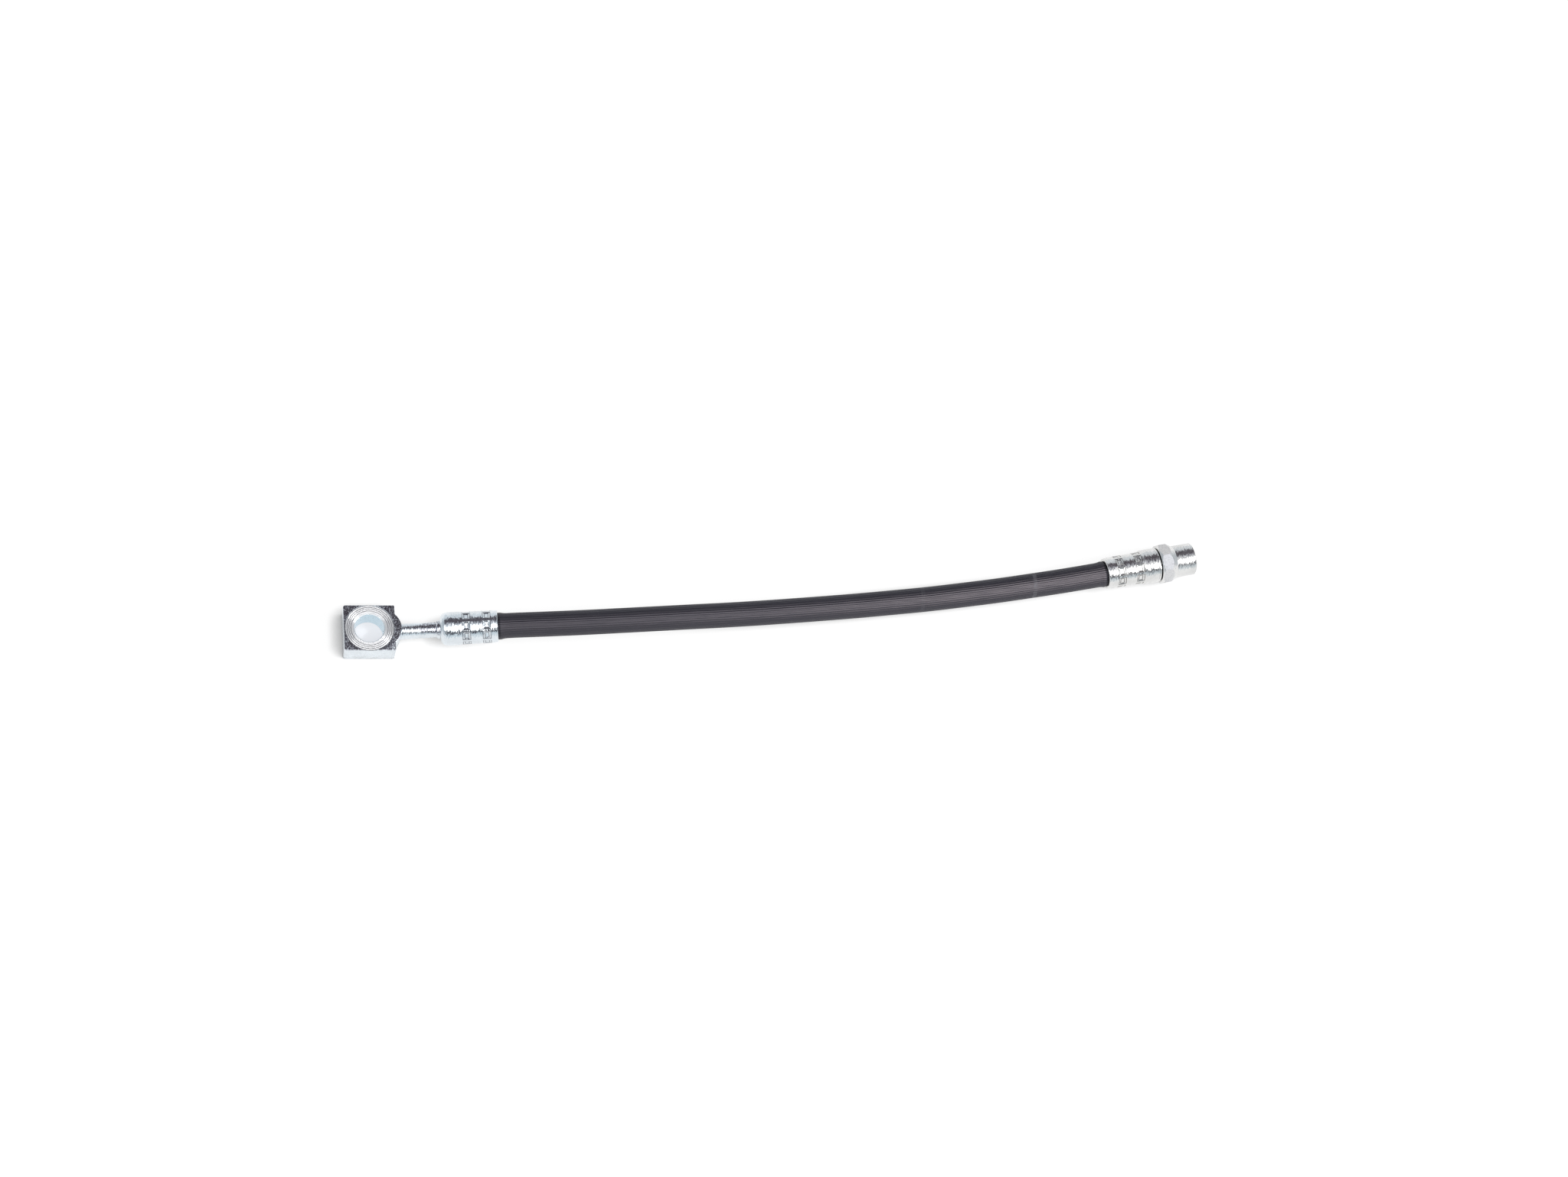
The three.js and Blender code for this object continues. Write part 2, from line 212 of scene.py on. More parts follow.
# Zinc plate. Each SCALE is a noise's cells in a metre
BANJO_TINT = (0.78, 0.83, 0.87)
END_TINT = (0.77, 0.77, 0.765)
BANJO_SHEEN = 0.1
END_SLEEVE_SHEEN = 0.14
END_SHEEN = 0.17
SHEEN_SPREAD = 0.1
SHEEN_SCALE = 700
BANJO_RELIEF = 0.03 * MM
PLATE_RELIEF = 0.02 * MM
BUMP_FILTER = 0.02
STAIN_SHADE = 0.84
STAIN_SCALE = 140
GRAIN_SCALE = 2300
GRAIN_STRENGTH = 0.75
STREAK_STRETCH = (2600, 700, 700)
STREAK_SWING = 0.7
SPECK_SCALE = 2400
SPECK_ROUGHNESS = 0.5

# Eye block's faces and bore
# Painted reflection: the bolt bore's wall gets its own pale cyan colour
BORE_PAINTED_REFLECTION = (0.66, 0.8, 0.86)
SEAT_TINTS = ((0.92, 0.92, 0.94), (0.98, 0.98, 0.99))
SEAT_SCALE = 500
SEAT_ROUGHNESS = 0.24
SEAT_MATT = 0.4
TURNING_PITCH = 0.14 * MM
TURNING_RELIEF = 0.014 * MM
# Painted shade: a dark colour for the bottoms of the seat grooves
GROOVE_PAINTED_SHADE = (0.04, 0.04, 0.05)
GROOVE_SHADE_START = 0.85
# Painted dark reflection: darker patches on the block's top and bottom faces
FACE_PAINTED_DARK = (0.3, 0.29, 0.33)
MOTTLE_SCALE = 1500
EDGE_MARGIN = 0.02 * MM
BORE_MARGIN = 0.05 * MM
FACE_MARGIN = 0.1 * MM
SEAT_REACH = 1.2 * MM

# Crimp dents' creases: painted shade in them, and their wrinkled relief
BANJO_CREASE_SHADE = (0.09, 0.09, 0.11)
END_CREASE_SHADE = (0.11, 0.1, 0.09)
CREASE_SHADE_SCALE = 1500
CREASE_ROUGHNESS = 0.4
WRINKLE_SCALE = 1700
WRINKLE_RELIEF = 0.05 * MM

# Collar's flats: painted light and shade by which way each flat faces, and the cutter's strokes
FLAT_UP_PAINTED_LIGHT = (0.92, 0.91, 0.91)
FLAT_TILTED_PAINTED_SHADE = (0.7, 0.71, 0.75)
FLAT_FRONT_PAINTED_LIGHT = (0.88, 0.88, 0.89)
FLAT_WORN = (0.2, 0.21, 0.23)
FLAT_LEAN = 0.02
FLAT_ROUGHNESS = 0.6
FLAT_MATT = 0.7
STROKE_PITCH = 0.42 * MM
STROKE_SHARE = 0.2
HATCH_SCALE = 2200
HATCH_RELIEF = 0.03 * MM

# Rubber
RUBBER_DARK = (0.013, 0.012, 0.017)
RUBBER_PALE = (0.022, 0.02, 0.027)
# Painted light: the cover's colour where it faces the front
RUBBER_FRONT_PAINTED_LIGHT = (0.05, 0.047, 0.056)
# Painted highlight: the colour of rib crests that face the softbox
RUBBER_PAINTED_HIGHLIGHT = (0.2, 0.178, 0.19)
# Painted shade: the cover's colour at each ferrule's mouth
RUBBER_MOUTH_SHADE = (0.003, 0.003, 0.004)
RUBBER_GLOSS_TINT = (0.85, 0.84, 1, 1)
RUBBER_STRETCH = (70, 1500, 1500)
RUBBER_GRAIN_STRETCH = (300, 3000, 3000)
RUBBER_RELIEF = 0.01 * MM
# Way that the painted front light faces
FRONT_WAY = (0, -0.8, 0.6)
# Way that the painted highlight's crests face, towards the softbox
HIGHLIGHT_WAY = (0, -0.45, 0.89)
HOSE_SPAN = 317 * MM
# Width of the painted shade at each ferrule's mouth
MOUTH_SHADE_WIDTH = 2 * MM
SCUFFS = ((235 * MM, 0.15), (284.1 * MM, 0.38))
SCUFF_WIDTH = 2 * MM
SCUFF_TINT = (0.2, 0.2, 0.22)
SCUFF_SCALE = 420
DUST_TINT = (0.35, 0.35, 0.37)
DUST_SCALE = 900
DUST_PATCH_SCALE = 220
LINING_SCALE = 400
LINING_GLOSS_SCALE = 900

# Braid
WEAVE_SCALE = 1600
WEAVE_TINTS = ((0.66, 0.62, 0.52), (0.5, 0.46, 0.38))
WEAVE_RELIEF = 0.1 * MM
FIBRE_SCALE = 3000

# Floor
FLOOR_HALF = 3.0
FLOOR_TINT = (0.3, 0.3, 0.3, 1)
SHADOW_REACH = 8 * MM
SHADOW_WAY = (0.62, -0.45, 0.64)
SHADOW_POWER = 1.3
# Painted light: fixed level and blue tint of the floor seen through the bolt bore, in place of its
# shadow
BORE_PAINTED_LEVEL = 0.66
BORE_PAINTED_TINT = (0.94, 0.95, 1.0)

# World: plain light level, and what metal reflects, by degrees round X from the +Y way
PLAIN_LEVEL = (0.33, 0.33, 0.33)
WORLD_BANDS = (
    (0, (0.86, 0.9, 0.93)),
    (32, (0.8, 0.84, 0.88)),
    (39, (0.12, 0.108, 0.125)),
    (70, (0.1, 0.09, 0.105)),
    (80, (0.5, 0.52, 0.58)),
    (95, (0.8, 0.8, 0.8)),
    (133, (0.8, 0.8, 0.8)),
    (137, (0.03, 0.03, 0.045)),
    (149, (0.04, 0.04, 0.06)),
    (154, (0.66, 0.74, 0.79)),
    (180, (0.85, 0.9, 0.93)),
)
SIDEWAYS_TINT = (0.58, 0.62, 0.66)
SIDEWAYS_START = 0.55
SIDEWAYS_FULL = 0.78

# Lights: width, depth, power, way from the middle of the hose and distance
SOFTBOX_LEAN = math.radians(23)
SOFTBOX = (2.8, 0.6, 8.0, (0, -math.sin(SOFTBOX_LEAN), math.cos(SOFTBOX_LEAN)), 1.0)
SIDE_LIGHT = (0.5, 0.5, 6.0, (0.8, -0.2, 0.55), 1.3)

# Camera: the photograph's frame, and its view fitted to the block, the bore and the ferrules
PHOTO_WIDTH = 2048
PHOTO_FOCAL = 6000
SENSOR_WIDTH = 36
CAMERA_PLACE = Vector((-178.6, -770.3, 1744.1)) * MM
CAMERA_VIEW = Vector((0.18274, 0.40671, -0.89509))
CAMERA_RIGHT = Vector((0.98316, -0.07415, 0.16703))
CLIP_START = 0.05
CLIP_END = 20


# Routes and directions, from the foot of the bolt bore

NECK_AXIS = Vector((math.cos(NECK_LIFT), 0, math.sin(NECK_LIFT)))
NECK_START = BORE + Vector((NECK_ROOT, 0, BLOCK_HEIGHT / 2))
BANJO_MOUTH = NECK_START + NECK_AXIS * (NECK_LENGTH + FERRULE_LENGTH)
END_AXIS = Vector((math.cos(END_YAW), math.sin(END_YAW), 0))
END_BODY_START = END_MOUTH + END_AXIS * (FERRULE_LENGTH + CLEARANCE)
INSERTION = FERRULE_LENGTH - END_WALL - CLEARANCE


def catmull_rom(points, spacing):
    """Points about one spacing apart on a centripetal Catmull-Rom curve through the given ones."""
    ends = [points[0] * 2 - points[1]] + points + [points[-1] * 2 - points[-2]]
    curve = []
    for p0, p1, p2, p3 in zip(ends, ends[1:], ends[2:], ends[3:]):
        d0 = math.sqrt((p1 - p0).length)
        d1 = math.sqrt((p2 - p1).length)
        d2 = math.sqrt((p3 - p2).length)
        m1 = (p1 - p0) / d0 - (p2 - p0) / (d0 + d1) + (p2 - p1) / d1
        m2 = (p2 - p1) / d1 - (p3 - p1) / (d1 + d2) + (p3 - p2) / d2
        steps = max(1, round((p2 - p1).length / spacing))
        for i in range(steps):
            t = i / steps
            curve.append(
                p1 * (2 * t**3 - 3 * t**2 + 1)
                + m1 * d1 * (t**3 - 2 * t**2 + t)
                + p2 * (3 * t**2 - 2 * t**3)
                + m2 * d1 * (t**3 - t**2)
            )
    return curve + [points[-1]]


def hose_route(spacing):
    """The hose's centreline, from its cut end in one ferrule to that in the other."""
    start = BANJO_MOUTH - NECK_AXIS * INSERTION
    finish = END_MOUTH + END_AXIS * INSERTION
    step = (ROUTE_END - ROUTE_START) / (len(FREE_ROUTE) - 1)
    free = [(ROUTE_START + step * i, y, z) for i, (y, z) in enumerate(FREE_ROUTE)]
    return catmull_rom(
        [start, (start + BANJO_MOUTH) / 2, BANJO_MOUTH, BANJO_MOUTH + NECK_AXIS * STRAIGHT_RUN]
        + [BORE + Vector(p) * MM for p in free]
        + [END_MOUTH - END_AXIS * STRAIGHT_RUN, END_MOUTH, (END_MOUTH + finish) / 2, finish],
        spacing,
    )


def along_x(origin, axis, turn=0.0):
    """Matrix that puts a form turned about X at an origin, along an axis."""
    x = axis.normalized()
    y = Vector((0, 0, 1)).cross(x).normalized()
    z = x.cross(y)
    place = Matrix((x, y, z)).transposed().to_4x4()
    place.translation = origin
    return place @ Matrix.Rotation(turn, 4, "X")


# Meshes


def new_object(name, verts, faces, smooth_angle=SMOOTH_ANGLE, marks=None):
    """A tidy mesh object in the scene; marks are named values, one a corner."""
    mesh = bpy.data.meshes.new(name)
    mesh.from_pydata([tuple(v) for v in verts], [], faces)
    for key, values in (marks or {}).items():
        mesh.attributes.new(key, "FLOAT", "POINT").data.foreach_set("value", values)
    obj = bpy.data.objects.new(name, mesh)
    bpy.context.scene.collection.objects.link(obj)
    tidy_mesh(obj, smooth_angle)
    return obj


def tidy_mesh(obj, smooth_angle):
    """Merged corners, faces out, and smooth shading broken at real edges."""
    shape = bmesh.new()
    shape.from_mesh(obj.data)
    bmesh.ops.remove_doubles(shape, verts=shape.verts, dist=MERGE_DISTANCE)
    bare_edges = [edge for edge in shape.edges if not edge.link_faces]
    bmesh.ops.delete(shape, geom=bare_edges, context="EDGES")
    bmesh.ops.recalc_face_normals(shape, faces=shape.faces)
    shape.to_mesh(obj.data)
    shape.free()
    obj.data.shade_smooth()
    obj.data.set_sharp_from_angle(angle=smooth_angle)


def turned(profile, segments, shift=None):
    """Corners and faces of a closed ring profile of (along, radius), turned about X."""
    verts = []
    for i in range(segments):
        angle = 2 * math.pi * i / segments
        for along, radius in profile:
            r = radius + (shift(along, radius, angle) if shift else 0)
            verts.append((along, r * math.cos(angle), r * math.sin(angle)))
    count = len(profile)
    faces = []
    for i in range(segments):
        a = i * count
        b = (i + 1) % segments * count
        faces += [(a + k, a + (k + 1) % count, b + (k + 1) % count, b + k) for k in range(count)]
    return verts, faces


def solid_turned(name, profile, segments, place, shift=None):
    """A turned solid; profile points with no radius lie on its axis."""
    verts, faces = turned(profile, segments, shift)
    return new_object(name, [place @ Vector(v) for v in verts], faces)


def cut(obj, cutter, operation="DIFFERENCE"):
    """Cut a tool from a piece, or join or intersect them, and remove the tool."""
    modifier = obj.modifiers.new("cut", "BOOLEAN")
    modifier.operation = operation
    modifier.solver = "EXACT"
    modifier.object = cutter
    settle(obj)
    bpy.data.objects.remove(cutter)


def settle(obj):
    """Put the result of the object's modifiers into its mesh."""
    depsgraph = bpy.context.evaluated_depsgraph_get()
    mesh = bpy.data.meshes.new_from_object(obj.evaluated_get(depsgraph))
    obj.modifiers.clear()
    old = obj.data
    obj.data = mesh
    mesh.name = obj.name
    bpy.data.meshes.remove(old)


def subdivided(path, step):
    """The same path with points at most one step apart."""
    points = []
    for (a0, r0), (a1, r1) in zip(path, path[1:]):
        count = max(1, math.ceil(math.hypot(a1 - a0, r1 - r0) / step))
        points += [(a0 + (a1 - a0) * i / count, r0 + (r1 - r0) * i / count) for i in range(count)]
    return points + [path[-1]]


def arc(centre, radius, start, end, steps):
    """Points on an arc from one angle to another."""
    angles = [start + (end - start) * i / steps for i in range(steps + 1)]
    return [(centre[0] + radius * math.cos(a), centre[1] + radius * math.sin(a)) for a in angles]


def block_outline():
    """The eye block from above: rounded corners, and a crown where the neck leaves it."""
    quarter = math.pi / 2
    back = -BLOCK_LENGTH / 2 + BLOCK_CORNER
    side = BLOCK_WIDTH / 2
    small = BLOCK_CORNER / 2
    front = BLOCK_LENGTH / 2
    half = CROWN_WIDTH / 2
    crown = (half**2 + CROWN_REACH**2) / (2 * CROWN_REACH)
    reach = math.asin(half / crown)
    return (
        arc((back, side - BLOCK_CORNER), BLOCK_CORNER, quarter, 2 * quarter, CORNER_STEPS)
        + arc((back, BLOCK_CORNER - side), BLOCK_CORNER, 2 * quarter, 3 * quarter, CORNER_STEPS)
        + arc((front - small, small - side), small, 3 * quarter, 4 * quarter, SMALL_CORNER_STEPS)
        + arc((front + CROWN_REACH - crown, 0), crown, -reach, reach, CROWN_STEPS)
        + arc((front - small, side - small), small, 0, quarter, SMALL_CORNER_STEPS)
    )


def eye_block():
    """The block before it is turned and bored, with its edges bevelled."""
    outline = block_outline()
    count = len(outline)
    verts = [(x, y, 0) for x, y in outline] + [(x, y, BLOCK_HEIGHT) for x, y in outline]
    faces = [tuple(range(count)), tuple(range(count, 2 * count))]
    faces += [(i, (i + 1) % count, count + (i + 1) % count, count + i) for i in range(count)]
    obj = new_object("banjo_body", [Vector(v) + BORE for v in verts], faces)
    bevel = obj.modifiers.new("edges", "BEVEL")
    bevel.width = BLOCK_BEVEL
    bevel.segments = BEVEL_SEGMENTS
    bevel.limit_method = "ANGLE"
    bevel.angle_limit = BEVEL_ANGLE
    settle(obj)
    return obj


def seat_cutter(height, up):
    """The turning tool's path on one face of the block: sunk seat, grooves and bore chamfer."""
    above = TOOL_OVERRUN
    lands = []
    for i in range(GROOVE_COUNT):
        radius = FIRST_GROOVE + GROOVE_PITCH * i
        lands += [
            (-SEAT_SINK, radius - GROOVE_WIDTH / 2),
            (-SEAT_SINK - GROOVE_DEPTH, radius - GROOVE_WIDTH / 12),
            (-SEAT_SINK - GROOVE_DEPTH, radius + GROOVE_WIDTH / 12),
            (-SEAT_SINK, radius + GROOVE_WIDTH / 2),
        ]
    profile = [
        (above, 0),
        (-SEAT_SINK - BORE_CHAMFER, 0),
        (-SEAT_SINK - BORE_CHAMFER, BORE_RADIUS),
        (-SEAT_SINK - BORE_CHAMFER / 3, BORE_RADIUS + BORE_CHAMFER * 0.75),
        (-SEAT_SINK, BORE_RADIUS + BORE_CHAMFER),
        *lands,
        (-SEAT_SINK, SEAT_RADIUS),
        (above, SEAT_RADIUS),
    ]
    upright = Matrix.Rotation(-math.pi / 2 * up, 4, "Y")
    place = Matrix.Translation(BORE + Vector((0, 0, height))) @ upright
    return solid_turned("seat_tool", profile, BORE_SEGMENTS, place)


def bore_cutter():
    reach = 2 * BLOCK_HEIGHT
    profile = [(-reach, 0), (-reach, BORE_RADIUS), (reach, BORE_RADIUS), (reach, 0)]
    place = Matrix.Translation(BORE) @ Matrix.Rotation(-math.pi / 2, 4, "Y")
    return solid_turned("bore_tool", profile, BORE_SEGMENTS, place)


def tail_profile(root):
    """A barbed tail's section from its root, each barb steep towards the root."""
    points = [(root, TAIL_RADIUS)]
    for i in range(BARB_COUNT):
        foot = root + TAIL_LENGTH - BARB_PITCH * (BARB_COUNT - i)
        points += [
            (foot + BARB_PITCH / 2, TAIL_RADIUS),
            (foot + BARB_PITCH / 2, TAIL_RADIUS + BARB_HEIGHT),
            (foot + BARB_PITCH, TAIL_RADIUS),
        ]
    return points


def neck():
    """The neck with its step, and the barbed tail that goes into the hose."""
    wall = NECK_LENGTH + END_WALL
    step = NECK_LENGTH - CLEARANCE
    round_off = NECK_STEP_ROUND
    profile = [
        (0, PASSAGE_RADIUS),
        (0, NECK_RADIUS),
        (step - NECK_STEP_LENGTH - round_off, NECK_RADIUS),
        (step - NECK_STEP_LENGTH, NECK_STEP_RADIUS - round_off),
        (step - NECK_STEP_LENGTH + round_off, NECK_STEP_RADIUS),
        (step, NECK_STEP_RADIUS),
        (step, NECK_RADIUS),
        (wall, NECK_RADIUS),
        *tail_profile(wall),
        (wall + TAIL_LENGTH, PASSAGE_RADIUS),
    ]
    return solid_turned("neck_stock", profile, NECK_SEGMENTS, along_x(NECK_START, NECK_AXIS))


def passage_cutter():
    """The cross hole that joins the bolt bore to the neck's own passage."""
    inner = -NECK_ROOT * 0.9
    outer = TOOL_OVERRUN
    profile = [(inner, 0), (inner, PASSAGE_RADIUS), (outer, PASSAGE_RADIUS), (outer, 0)]
    place = along_x(NECK_START, NECK_AXIS)
    return solid_turned("passage_tool", profile, PASSAGE_SEGMENTS, place)


def banjo_body():
    """The eye block and neck as one piece, bored, faced and grooved."""
    obj = eye_block()
    cut(obj, neck(), "UNION")
    cut(obj, bore_cutter())
    cut(obj, seat_cutter(BLOCK_HEIGHT, 1))
    cut(obj, seat_cutter(0, -1))
    cut(obj, passage_cutter())
    tidy_mesh(obj, BODY_SMOOTH_ANGLE)
    return obj


def off_dent(rows, along, angle):
    """Distances round and along the ferrule from the middle of the nearest dent."""
    pitch = 2 * math.pi / DENTS_PER_ROW
    off_angle = abs(angle - pitch * round(angle / pitch))
    return off_angle, min(abs(along - row) for row in rows)


def outside_dented(radius):
    """Whether a point of the ferrule's section lies on the outside that the dents press in."""
    return radius >= HOSE_RADIUS + HOSE_CLEARANCE + DENT_DEPTH


def dent_shift(rows):
    """Function for how far the flat-bottomed dents in the given rows press a ferrule in."""

    def shift(along, radius, angle):
        if not outside_dented(radius):
            return 0
        off_angle, off_row = off_dent(rows, along, angle)
        across = min(1, max(0, (DENT_FLAT / 2 + DENT_SIDE - off_angle) / DENT_SIDE))
        down = min(1, max(0, (DENT_LENGTH / 2 + DENT_WALL - off_row) / DENT_WALL))
        flat_floor = (radius - DENT_DEPTH) / math.cos(min(off_angle, DENT_FLAT / 2 + DENT_SIDE))
        return (flat_floor - radius) * min(across, down)

    return shift


def crease(rows, along, radius, angle):
    """One on the creases round a dent's floor and its rim, zero away from them."""
    if not outside_dented(radius):
        return 0.0
    off_angle, off_row = off_dent(rows, along, angle)
    beside = (off_angle - DENT_FLAT / 2) * CRIMP_RADIUS
    ahead = off_row - DENT_LENGTH / 2
    side = DENT_SIDE * CRIMP_RADIUS
    floor_edge = abs(max(beside, ahead))
    rim = abs(max(beside - side, ahead - DENT_WALL))
    return max(0.0, 1 - min(floor_edge, rim) / CREASE_WIDTH)


def crimped_outside(body, rows):
    """Outer section of a ferrule from its mouth past its dents to where its body starts."""
    lip = [
        (FERRULE_LIP * (1 - math.sin(a)), MOUTH_RADIUS - FERRULE_LIP * (1 - math.cos(a)))
        for a in (math.pi / 2 * (1 - i / LIP_STEPS) for i in range(LIP_STEPS + 1))
    ]
    crimp_end = rows[-1] + DENT_LENGTH / 2 + DENT_WALL
    return [
        *lip,
        (FERRULE_LIP + MOUTH_RAMP, CRIMP_RADIUS),
        (crimp_end, CRIMP_RADIUS),
        (crimp_end + FERRULE_FLARE, body),
    ]


def shoulder(body, length, height):
    """Quarter of an ellipse that rounds a ferrule's body over to its end face."""
    angles = [math.pi / 2 * i / SHOULDER_STEPS for i in range(SHOULDER_STEPS + 1)]
    return [
        (FERRULE_LENGTH - length * (1 - math.sin(a)), body - height * (1 - math.cos(a)))
        for a in angles
    ]


def banjo_outside():
    """Outer section of the banjo's ferrule, domed at the neck."""
    body = BANJO_FERRULE_RADIUS
    height = body - NECK_RADIUS - DOME_FACE
    return crimped_outside(body, BANJO_DENT_ROWS) + shoulder(body, DOME_LENGTH, height)


def end_outside():
    """Outer section of the end ferrule, with the ring groove beside the collar."""
    body = END_FERRULE_RADIUS
    groove_end = FERRULE_LENGTH - RING_GROOVE_INSET
    return [
        *crimped_outside(body, END_DENT_ROWS),
        (groove_end - RING_GROOVE_WIDTH, body),
        (groove_end - RING_GROOVE_WIDTH / 2, body - RING_GROOVE_DEPTH),
        (groove_end, body),
        *shoulder(body, FERRULE_LIP, FERRULE_LIP),
    ]


def ferrule(name, outside, rows, place):
    """Crimped sleeve, its mouth at the place's origin and its end wall along the place's X."""
    inside = HOSE_RADIUS + HOSE_CLEARANCE
    depth = FERRULE_LENGTH - END_WALL
    hole = NECK_RADIUS + CLEARANCE
    bored = [(FERRULE_LENGTH, hole), (depth, hole), (depth, inside), (0, inside)]
    profile = subdivided(outside, SLEEVE_STEP) + bored
    verts, faces = turned(profile, SLEEVE_SEGMENTS, dent_shift(rows))
    creases = []
    for i in range(SLEEVE_SEGMENTS):
        angle = 2 * math.pi * i / SLEEVE_SEGMENTS
        creases += [crease(rows, along, radius, angle) for along, radius in profile]
    placed = [place @ Vector(v) for v in verts]
    return new_object(name, placed, faces, SLEEVE_SMOOTH_ANGLE, {"crease": creases})


def thread_shift(end):
    """Function for how far the port's thread cuts into its wall, running out at both ends."""

    def shift(along, radius, angle):
        inward = (end - along) / THREAD_PITCH
        if abs(radius - PORT_RADIUS) > 1e-6 or inward < 0:
            return 0
        turn = (inward + angle / (2 * math.pi)) % 1
        flank = min(1, max(0, THREAD_SLOPE * (1 - abs(2 * turn - 1)) - THREAD_LAND))
        ends = min(1, inward, max(0, THREAD_LENGTH / THREAD_PITCH - inward))
        return THREAD_DEPTH * flank * ends

    return shift


def octagon_tool(start, end, place):
    """A prism whose sides are the collar's flats."""
    corner = COLLAR_FLAT / math.cos(math.pi / COLLAR_SIDES)
    angles = [math.pi / COLLAR_SIDES * (2 * i + 1) for i in range(COLLAR_SIDES)]
    verts = [(x, corner * math.cos(a), corner * math.sin(a)) for x in (start, end) for a in angles]
    sides = COLLAR_SIDES
    faces = [tuple(range(sides)), tuple(range(sides, 2 * sides))]
    faces += [(i, (i + 1) % sides, sides + (i + 1) % sides, sides + i) for i in range(sides)]
    return new_object("octagon_tool", [place @ Vector(v) for v in verts], faces)


def end_body():
    """The female end, turned in one piece and then given the collar's eight flats."""
    corner = COLLAR_FLAT / math.cos(math.pi / COLLAR_SIDES)
    over = corner + COLLAR_CHAMFER / 2
    cone_start = COLLAR_LENGTH - CONE_LENGTH * (corner - COLLAR_FLAT) / COLLAR_FLAT
    nose_start = COLLAR_LENGTH + CONE_LENGTH
    nose_end = nose_start + NOSE_LENGTH
    wall = -END_WALL - CLEARANCE
    foot = nose_end - PORT_DEPTH
    mouth = nose_end - PORT_CHAMFER
    tail = [(wall - along, radius) for along, radius in reversed(tail_profile(0))]
    port = [(mouth + (foot - mouth) * i / PORT_STEPS, PORT_RADIUS) for i in range(PORT_STEPS + 1)]
    profile = [
        (wall - TAIL_LENGTH, PASSAGE_RADIUS),
        *tail,
        (wall, NECK_RADIUS),
        (0, NECK_RADIUS),
        (0, COLLAR_FLAT - COLLAR_CHAMFER),
        (over - COLLAR_FLAT + COLLAR_CHAMFER, over),
        (cone_start, over),
        (nose_start, NOSE_RADIUS),
        (nose_end - NOSE_CHAMFER, NOSE_RADIUS),
        (nose_end, NOSE_RADIUS - NOSE_CHAMFER),
        (nose_end, PORT_RADIUS + PORT_CHAMFER),
        *port,
        (foot, SEAT_CONE_RADIUS),
        (foot + SEAT_CONE_HEIGHT, SEAT_FACE_RADIUS),
        (foot + SEAT_CONE_HEIGHT, PASSAGE_RADIUS),
    ]
    place = along_x(END_BODY_START, END_AXIS, COLLAR_TURN)
    obj = solid_turned("end_body", profile, END_SEGMENTS, place, thread_shift(mouth))
    cut(obj, octagon_tool(wall - 2 * TAIL_LENGTH, 2 * nose_end, place), "INTERSECT")
    tidy_mesh(obj, BODY_SMOOTH_ANGLE)
    return obj


# Hose


def swell(distance):
    """How far the cover bulges where a ferrule squeezes it, by distance outside its mouth."""
    if distance < 0:
        return 0
    return MOUTH_SWELL * math.exp(-(((distance - SWELL_PEAK) / SWELL_LENGTH) ** 2))


def rib_crest(angle):
    """One on a rib's crest, zero in the groove beside it."""
    return 0.5 + 0.5 * math.cos(RIB_COUNT * angle)


def running_lengths(centres):
    """Length of the route up to each of its points."""
    lengths = [0.0]
    for a, b in zip(centres, centres[1:]):
        lengths.append(lengths[-1] + (b - a).length)
    return lengths


def across(centres, k):
    """Sideways and upward directions square to the route at one of its points."""
    ahead = centres[min(k + 1, len(centres) - 1)] - centres[max(k - 1, 0)]
    side = Vector((0, 0, 1)).cross(ahead).normalized()
    return side, ahead.normalized().cross(side)


def tube(name, inner, outer, spacing, segments):
    """A plain hollow tube along the hose's route."""
    centres = hose_route(spacing)
    verts = []
    for radius in (outer, inner):
        for k, centre in enumerate(centres):
            side, up = across(centres, k)
            for i in range(segments):
                angle = 2 * math.pi * i / segments
                verts.append(centre + (side * math.cos(angle) + up * math.sin(angle)) * radius)
    rings = len(centres)
    loops = list(range(rings)) + list(range(2 * rings - 1, rings - 1, -1))
    return new_object(name, verts, ring_faces(loops, segments), HOSE_SMOOTH_ANGLE)


def ring_faces(loops, count):
    """Faces between each ring of corners and the next, the last ring joined to the first."""
    faces = []
    for a, b in zip(loops, loops[1:] + loops[:1]):
        a, b = a * count, b * count
        faces += [(a + i, a + (i + 1) % count, b + (i + 1) % count, b + i) for i in range(count)]
    return faces


def ribbed_tube(name, inner, outer, centres):
    """The cover: ribs along it outside, and a bulge just outside each ferrule's mouth."""
    segments = RIB_COUNT * RIB_STEPS
    lengths = running_lengths(centres)
    verts = []
    crests = []
    for k, centre in enumerate(centres):
        side, up = across(centres, k)
        from_end = lengths[-1] - lengths[k]
        bulge = swell(lengths[k] - INSERTION) + swell(from_end - INSERTION)
        for i in range(segments):
            angle = 2 * math.pi * i / segments
            crest = rib_crest(angle)
            radius = outer + bulge - RIB_DEPTH * (1 - crest) ** 1.5
            verts.append(centre + (side * math.cos(angle) + up * math.sin(angle)) * radius)
            crests.append(crest)
    rings = len(centres)
    inside = [*range(rings - 1, 0, -INNER_STRIDE), 0]
    for k in inside:
        side, up = across(centres, k)
        for i in range(segments):
            angle = 2 * math.pi * i / segments
            verts.append(centres[k] + (side * math.cos(angle) + up * math.sin(angle)) * inner)
            crests.append(0.0)
    faces = ring_faces(list(range(rings + len(inside))), segments)
    return new_object(name, verts, faces, HOSE_SMOOTH_ANGLE, {"crest": crests})


# Materials


